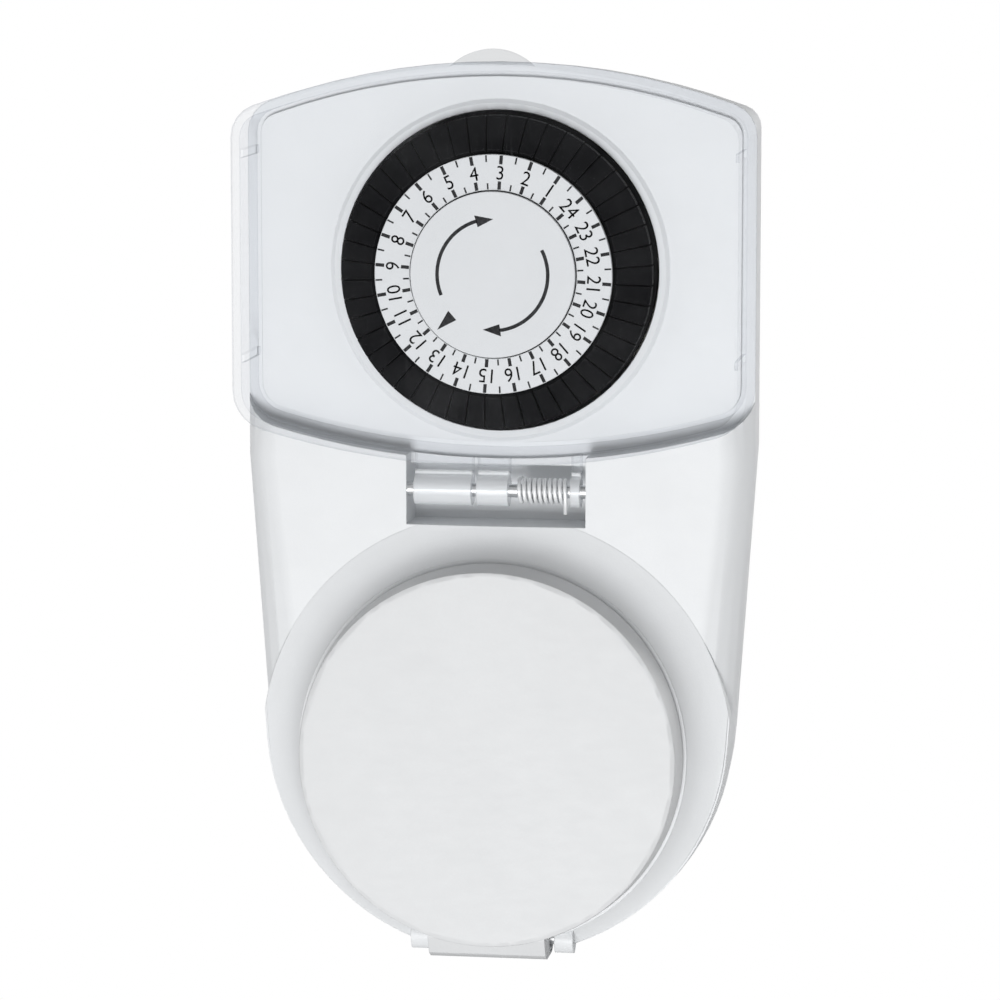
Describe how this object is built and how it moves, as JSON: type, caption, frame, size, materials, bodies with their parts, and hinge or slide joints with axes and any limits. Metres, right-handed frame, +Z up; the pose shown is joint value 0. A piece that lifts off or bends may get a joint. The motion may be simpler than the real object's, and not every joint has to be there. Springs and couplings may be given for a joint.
{
  "type": "plug-in 24-hour timer",
  "caption": "Splash-proof plug-in mechanical timer: segment dial under a sprung clear cover above an earthed socket with a sprung round lid, plug pins at the back.",
  "frame": {"origin": "centre of the plug's contact face, on the line shared by the plug and the socket", "axes": "+Y along the plug pins, away from the user and into the wall outlet; +Z up towards the dial; the front faces -Y; +X to the right seen from the front"},
  "size_m": [0.076, 0.078, 0.1346],
  "materials": {
    "white_plastic": "fine matt grain",
    "black_plastic": "satin",
    "clear_plastic": "clear, polished",
    "dark_plastic": "satin",
    "ivory_plastic": "natural acetal",
    "red_plastic": "gloss",
    "brass": "rolled strip",
    "steel": "drawn wire and turned bar",
    "nickel": "nickel plated",
    "grey_rubber": "matt",
    "black_rubber": "matt",
    "wound_copper": "enamelled copper winding",
    "wire_blue": "insulated wire"
  },
  "bodies": {
    "housing": {"rear_housing": "white_plastic", "front_housing": "white_plastic", "housing_gasket": "grey_rubber", "housing_screws": "steel", "wall_seal_ring": "black_rubber", "plug_pin_live": "nickel", "plug_pin_neutral": "nickel", "plug_earth_contacts": "nickel", "socket_insert": "white_plastic", "socket_contact_live": "brass", "socket_contact_neutral": "brass", "socket_earth_clips": "nickel", "earth_links": "brass", "neutral_link": "brass", "live_strip_in": "brass", "live_strip_out": "brass", "movement_plate": "ivory_plastic", "movement_screws": "steel", "dial_post": "steel", "idler_arbor": "steel", "motor_can": "steel", "motor_coil": "wound_copper", "motor_leads": "wire_blue", "switch_case": "dark_plastic", "switch_contacts": "brass", "pointer_disc": "white_plastic", "cover_hinge_pin": "steel", "cover_spring": "steel", "lid_hinge_pin": "steel", "lid_spring": "steel"},
    "dial": {"dial_drum": "black_plastic", "dial_gear": "ivory_plastic", "clutch_spring": "steel", "hour_ring": "white_plastic"},
    "cover": {"dial_cover": "clear_plastic"},
    "lid": {"socket_lid": "white_plastic", "lid_seal": "grey_rubber"},
    "idler": {"idler_gear": "ivory_plastic"},
    "pinion": {"motor_pinion": "brass"},
    "rotor": {"motor_rotor": "steel"},
    "lever": {"switch_lever": "ivory_plastic"},
    "plunger": {"switch_plunger": "red_plastic"},
    "segment_block_00_03": {"segments_00_03": "black_plastic"},
    "segment_block_03_06": {"segments_03_06": "black_plastic"},
    "segment_block_06_09": {"segments_06_09": "black_plastic"},
    "segment_block_09_12": {"segments_09_12": "black_plastic"},
    "segment_block_12_15": {"segments_12_15": "black_plastic"},
    "segment_block_15_18": {"segments_15_18": "black_plastic"},
    "segment_block_18_21": {"segments_18_21": "black_plastic"},
    "segment_block_21_24": {"segments_21_24": "black_plastic"}
  },
  "joints": [
    {"name": "dial_cover_hinge", "type": "hinge", "parent": "housing", "child": "cover", "pos_m": [0, -0.0478, 0.0387], "axis": [1, 0, 0], "range_deg": [0, 82]},
    {"name": "socket_lid_hinge", "type": "hinge", "parent": "housing", "child": "lid", "pos_m": [0, -0.051, -0.0281], "axis": [1, 0, 0], "range_deg": [0, 110]},
    {"name": "dial_turn", "type": "hinge", "parent": "housing", "child": "dial", "pos_m": [0, -0.044, 0.0711], "axis": [0, 1, 0], "continuous": true},
    {"name": "idler_turn", "type": "hinge", "parent": "housing", "child": "idler", "pos_m": [0.018, -0.032, 0.0711], "axis": [0, 1, 0], "continuous": true},
    {"name": "motor_pinion_turn", "type": "hinge", "parent": "housing", "child": "pinion", "pos_m": [0.018, -0.031, 0.0855], "axis": [0, 1, 0], "continuous": true},
    {"name": "motor_rotor_turn", "type": "hinge", "parent": "housing", "child": "rotor", "pos_m": [0.018, -0.024, 0.0855], "axis": [0, 1, 0], "continuous": true},
    {"name": "switch_lever_tilt", "type": "hinge", "parent": "housing", "child": "lever", "pos_m": [-0.00327, -0.0316, 0.04633], "axis": [-0.6639, 0, -0.7478], "range_deg": [0, 9]},
    {"name": "switch_plunger_press", "type": "slide", "parent": "housing", "child": "plunger", "axis": [0, 1, 0], "range_m": [0, 0.00125]},
    {"name": "push_segments_00_03", "type": "slide", "parent": "dial", "child": "segment_block_00_03", "axis": [0, 1, 0], "range_m": [0, 0.0025]},
    {"name": "push_segments_03_06", "type": "slide", "parent": "dial", "child": "segment_block_03_06", "axis": [0, 1, 0], "range_m": [0, 0.0025]},
    {"name": "push_segments_06_09", "type": "slide", "parent": "dial", "child": "segment_block_06_09", "axis": [0, 1, 0], "range_m": [0, 0.0025]},
    {"name": "push_segments_09_12", "type": "slide", "parent": "dial", "child": "segment_block_09_12", "axis": [0, 1, 0], "range_m": [0, 0.0025]},
    {"name": "push_segments_12_15", "type": "slide", "parent": "dial", "child": "segment_block_12_15", "axis": [0, 1, 0], "range_m": [0, 0.0025]},
    {"name": "push_segments_15_18", "type": "slide", "parent": "dial", "child": "segment_block_15_18", "axis": [0, 1, 0], "range_m": [0, 0.0025]},
    {"name": "push_segments_18_21", "type": "slide", "parent": "dial", "child": "segment_block_18_21", "axis": [0, 1, 0], "range_m": [0, 0.0025]},
    {"name": "push_segments_21_24", "type": "slide", "parent": "dial", "child": "segment_block_21_24", "axis": [0, 1, 0], "range_m": [0, 0.0025]}
  ],
  "couplings": [
    {"joint": "idler_turn", "follows": "dial_turn", "ratio": -8},
    {"joint": "motor_pinion_turn", "follows": "dial_turn", "ratio": 40},
    {"joint": "switch_lever_tilt", "follows": "switch_plunger_press", "rad_per_m": 125}
  ]
}
